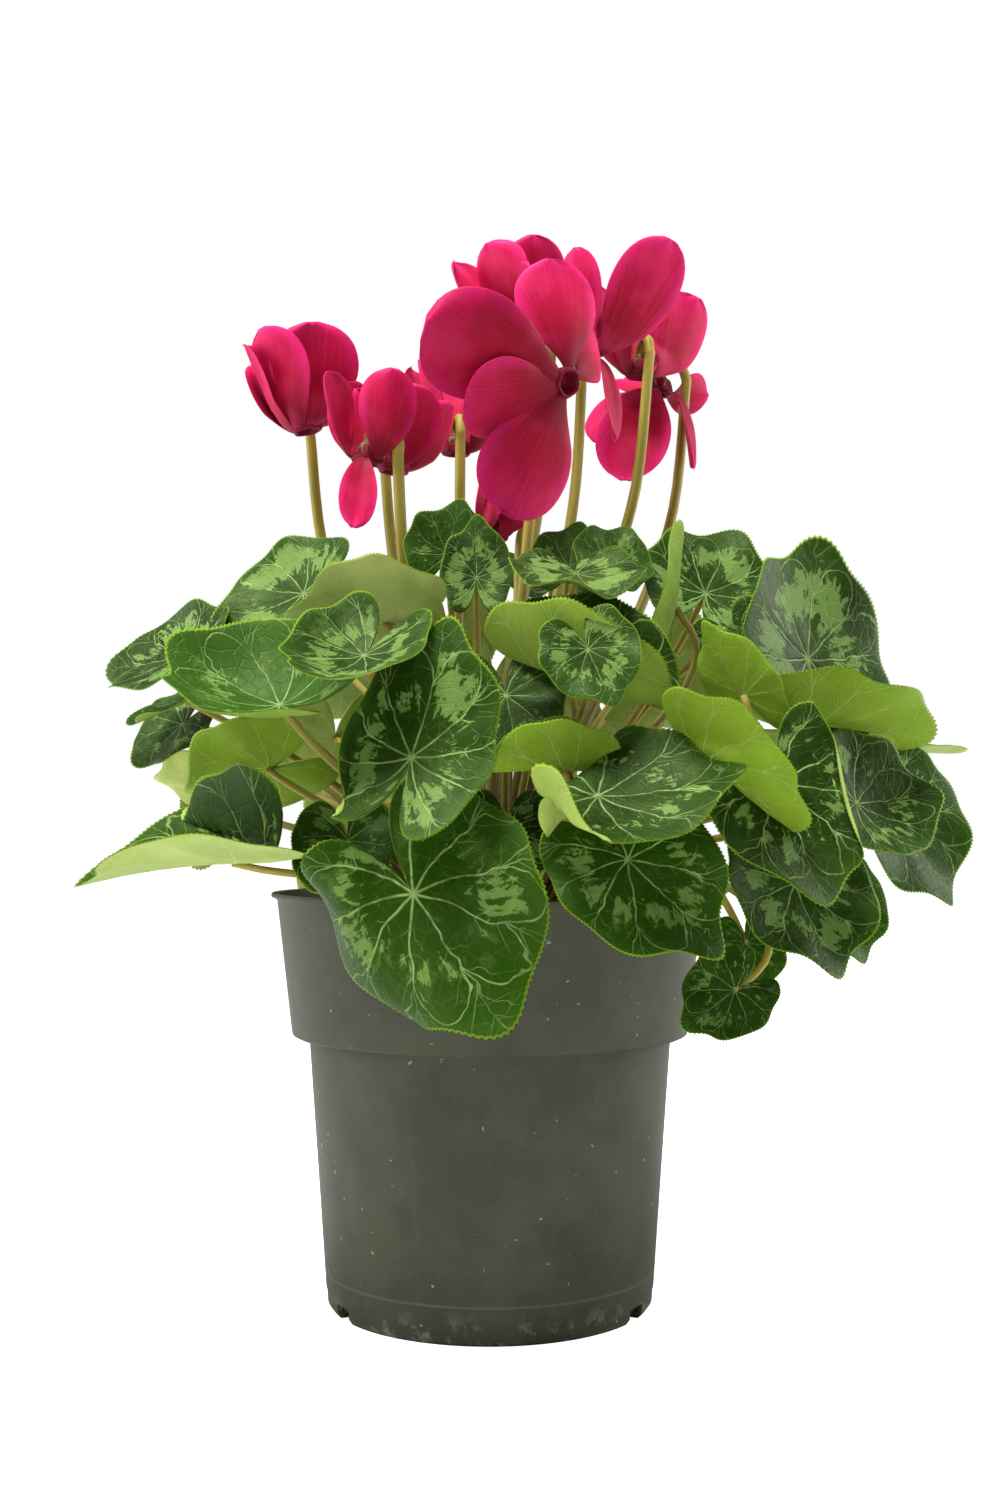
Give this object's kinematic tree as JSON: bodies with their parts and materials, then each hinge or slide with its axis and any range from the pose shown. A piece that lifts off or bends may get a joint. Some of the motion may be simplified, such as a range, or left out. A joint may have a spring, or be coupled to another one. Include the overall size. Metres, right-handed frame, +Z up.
{
  "type": "potted cyclamen",
  "caption": "Cyclamen in bloom in a plain round nursery pot: silver-marked heart-shaped leaves on long stalks and nodding crimson-pink flowers with swept-back petals.",
  "frame": {"origin": "centre of the pot's round foot, on the surface that it stands on", "axes": "+Z up along the pot's axis, -Y towards the viewer of the plant's front, +X to that viewer's right"},
  "size_m": [0.2813, 0.2433, 0.3525],
  "materials": {
    "pot": "dull dark grey-olive, slightly scuffed",
    "soil": "crumbly brown peat",
    "corm": "corky brown skin",
    "leaf": "dark green with silver-green patches, satin sheen, yellow-green toothed rim",
    "petal": "velvety crimson-pink, darker at the mouth",
    "stalk": "smooth olive-yellow, reddish brown at the top"
  },
  "bodies": {
    "root": {"pot": "pot", "soil": "soil", "flower_01_petals": "petal", "flower_01_stalk": "stalk", "flower_02_petals": "petal", "flower_02_stalk": "stalk", "flower_03_petals": "petal", "flower_03_stalk": "stalk", "flower_04_petals": "petal", "flower_04_stalk": "stalk", "flower_05_petals": "petal", "flower_05_stalk": "stalk", "flower_06_petals": "petal", "flower_06_stalk": "stalk", "flower_07_petals": "petal", "flower_07_stalk": "stalk", "flower_08_petals": "petal", "flower_08_stalk": "stalk", "flower_09_petals": "petal", "flower_09_stalk": "stalk", "flower_10_petals": "petal", "flower_10_stalk": "stalk", "leaf_left_01": "leaf", "leaf_left_02": "leaf", "leaf_left_03": "leaf", "leaf_left_04": "leaf", "leaf_left_05": "leaf", "leaf_left_06": "leaf", "leaf_left_07": "leaf", "leaf_left_08": "leaf", "leaf_left_09": "leaf", "leaf_left_10": "leaf", "leaf_left_11": "leaf", "leaf_right_01": "leaf", "leaf_right_02": "leaf", "leaf_right_03": "leaf", "leaf_right_04": "leaf", "leaf_right_05": "leaf", "leaf_right_06": "leaf", "leaf_right_07": "leaf", "leaf_right_08": "leaf", "leaf_right_09": "leaf", "leaf_right_10": "leaf", "leaf_right_11": "leaf", "leaf_right_12": "leaf", "leaf_right_13": "leaf", "leaf_back_01": "leaf", "leaf_back_02": "leaf", "leaf_back_03": "leaf", "leaf_back_04": "leaf", "leaf_back_05": "leaf", "leaf_back_06": "leaf", "leaf_back_07": "leaf", "leaf_back_08": "leaf", "leaf_back_09": "leaf", "leaf_back_10": "leaf", "leaf_back_11": "leaf", "corm": "corm"}
  },
  "joints": []
}
